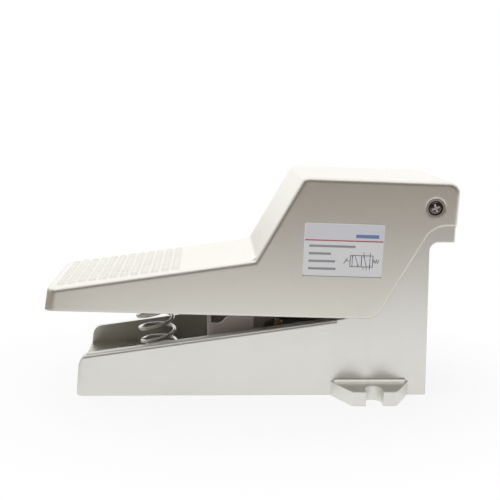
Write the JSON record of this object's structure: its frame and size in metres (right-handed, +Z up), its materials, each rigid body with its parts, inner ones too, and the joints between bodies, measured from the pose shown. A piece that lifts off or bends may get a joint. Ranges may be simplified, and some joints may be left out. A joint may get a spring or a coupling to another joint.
{
  "type": "foot pedal air valve",
  "caption": "Die-cast foot pedal air valve: a hinged treadle with a spring return presses an upright spool valve with threaded ports at the rear; a hook lever can hold it down.",
  "frame": {"origin": "middle of the bounding box, on the plane that the base stands on", "axes": "+X towards the hinge at the rear, +Z up, Y across the pedal; the name plate is on the -Y side"},
  "size_m": [0.2322, 0.097, 0.1281],
  "materials": {
    "base_cast": "silver sprayed die casting",
    "pedal_cast": "silver sprayed die casting",
    "plate": "printed foil plate",
    "steel_dark": "black oxide",
    "steel_zinc": "zinc plated",
    "spring_steel": "bright drawn wire",
    "valve_alu": "machined",
    "cap_black": "moulded",
    "seal": "moulded",
    "spool_alu": "anodised",
    "sheet_zinc": "zinc plated sheet",
    "brass": "turned",
    "yellow_spring": "yellow zinc plated wire"
  },
  "bodies": {
    "base": {"base_casting": "base_cast", "pivot_bushes": "steel_dark", "pivot_screws": "steel_zinc", "return_spring": "spring_steel", "valve_body": "valve_alu", "valve_top_cap": "cap_black", "valve_bottom_cap": "cap_black", "tie_bolts": "steel_dark", "plunger_seal": "seal", "cap_seal": "seal", "spool_spring": "spring_steel", "lock_bracket": "sheet_zinc", "bracket_screws": "steel_zinc", "lock_pin": "brass", "pin_clip": "steel_dark", "lock_spring": "yellow_spring"},
    "pedal": {"pedal_casting": "pedal_cast", "name_plate": "plate", "pusher_bolt": "steel_zinc", "pusher_nut": "steel_zinc", "lock_striker": "steel_zinc"},
    "spool": {"spool": "spool_alu", "spool_seals": "seal"},
    "lever": {"lock_lever": "sheet_zinc"}
  },
  "joints": [
    {"name": "pedal_press", "type": "hinge", "parent": "base", "child": "pedal", "pos_m": [0.1024, 0, 0.1115], "axis": [0, -1, 0], "range_deg": [0, 8], "stiffness_Nm_per_rad": 60, "springref_deg": -4.58, "deforming": ["return_spring"]},
    {"name": "spool_slide", "type": "slide", "parent": "base", "child": "spool", "axis": [0, 0, -1], "range_m": [0, 0.00425], "deforming": ["spool_spring"]},
    {"name": "lock_swing", "type": "hinge", "parent": "base", "child": "lever", "pos_m": [-0.003, 0, 0.024], "axis": [0, -1, 0], "range_deg": [0, 12], "stiffness_Nm_per_rad": 0.3, "springref_deg": -6.88, "deforming": ["lock_spring"]}
  ],
  "couplings": [
    {"joint": "spool_slide", "follows": "pedal_press", "m_per_rad": 0.0304}
  ]
}
